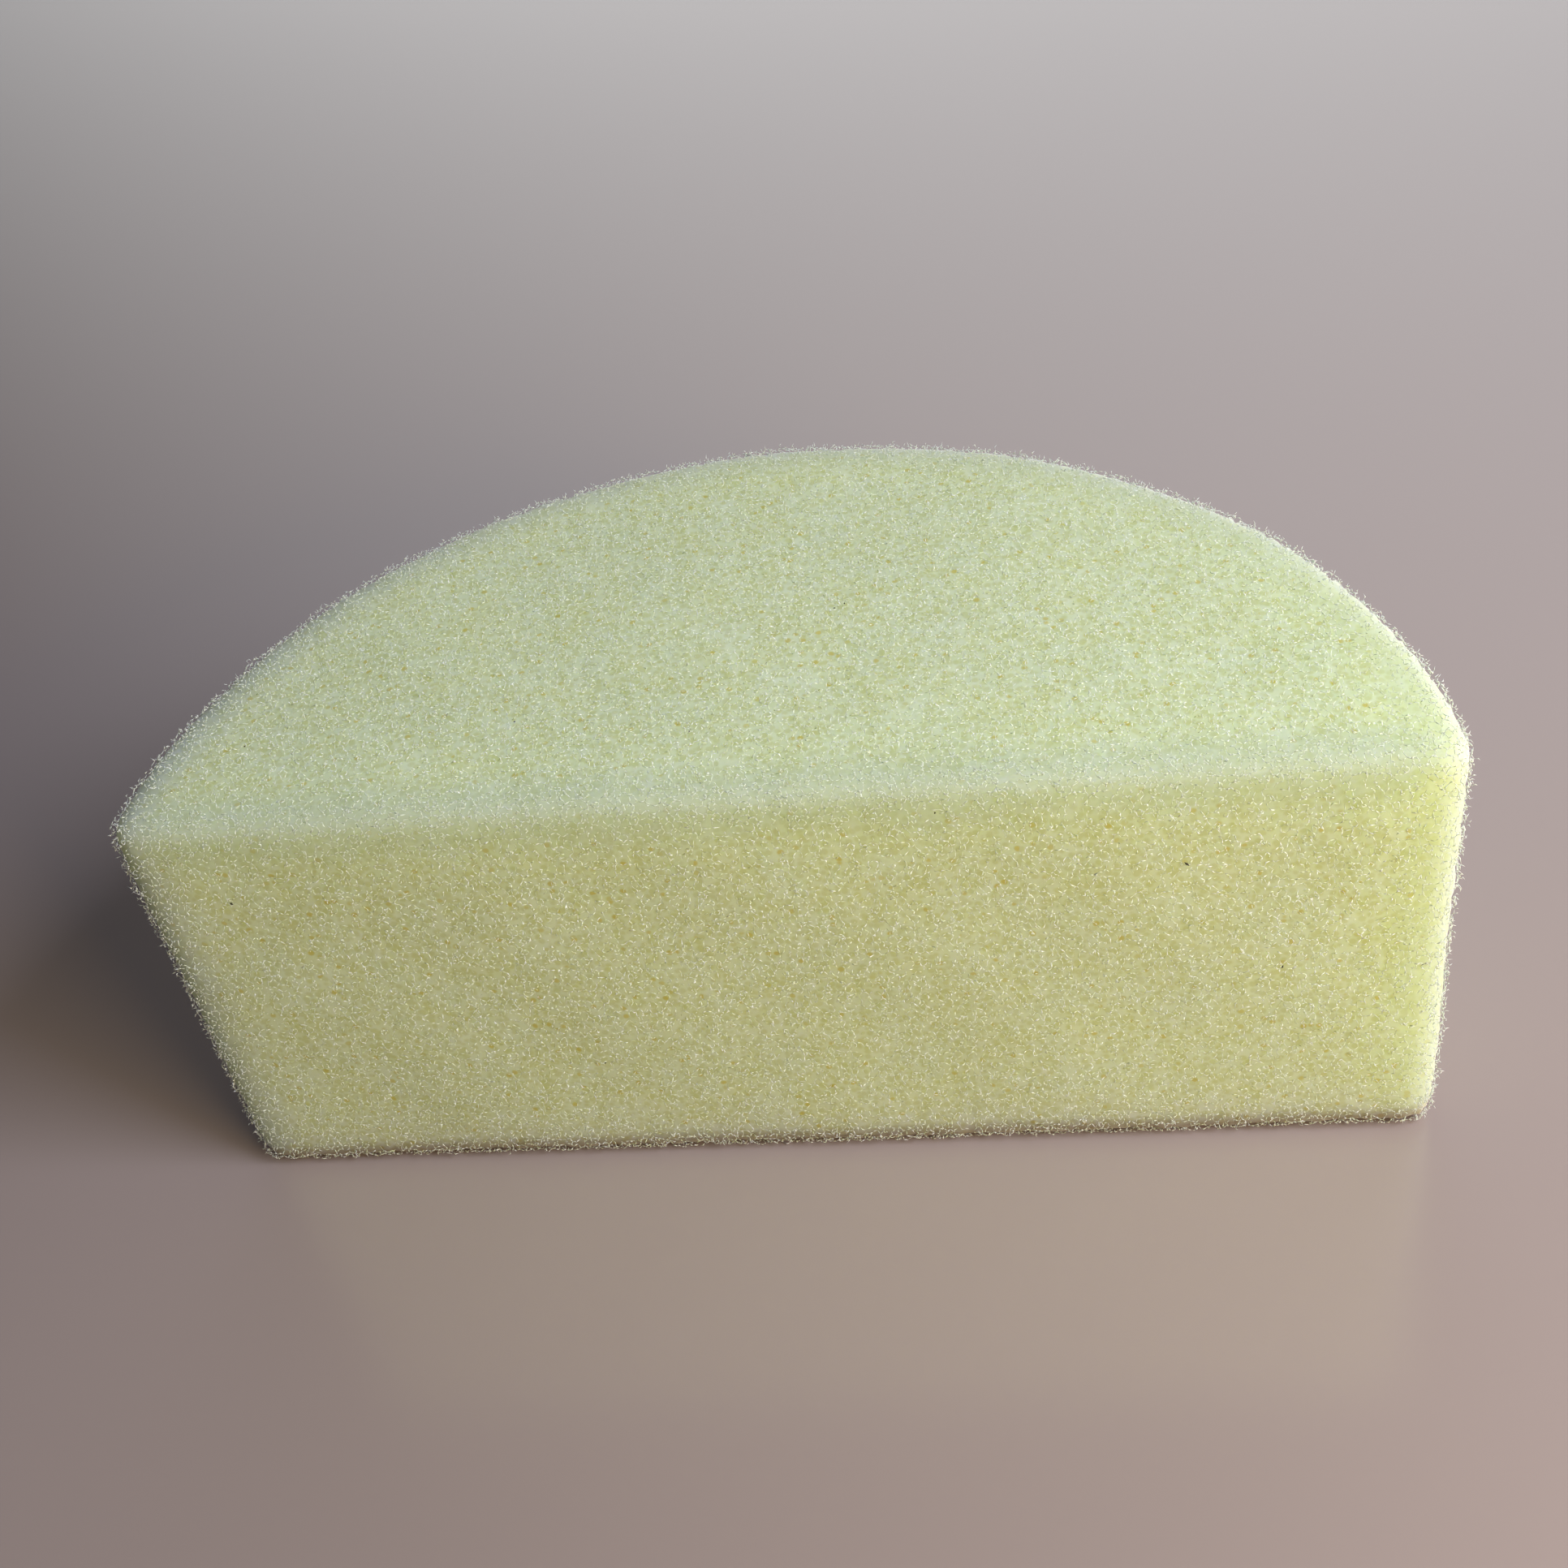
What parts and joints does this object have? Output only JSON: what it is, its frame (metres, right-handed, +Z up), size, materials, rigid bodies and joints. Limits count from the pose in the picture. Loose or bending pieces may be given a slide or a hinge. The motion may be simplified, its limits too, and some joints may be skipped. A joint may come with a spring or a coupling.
{
  "type": "face painting sponge",
  "caption": "Half-round block of pale yellow open-cell foam for dabbing on face paint, sliced from a round and resting on its flat D-shaped face.",
  "frame": {"origin": "centre of the footprint's bounding box, on the D-shaped face that the block stands on", "axes": "+X along the knife cut, +Y from the flat cut face to the middle of the curved wall, +Z up through the slab's thickness"},
  "size_m": [0.0758, 0.037, 0.03],
  "materials": {
    "foam": "matte open-cell polyurethane foam, cut surfaces"
  },
  "bodies": {
    "root": {"half_round_sponge": "foam"}
  },
  "joints": []
}
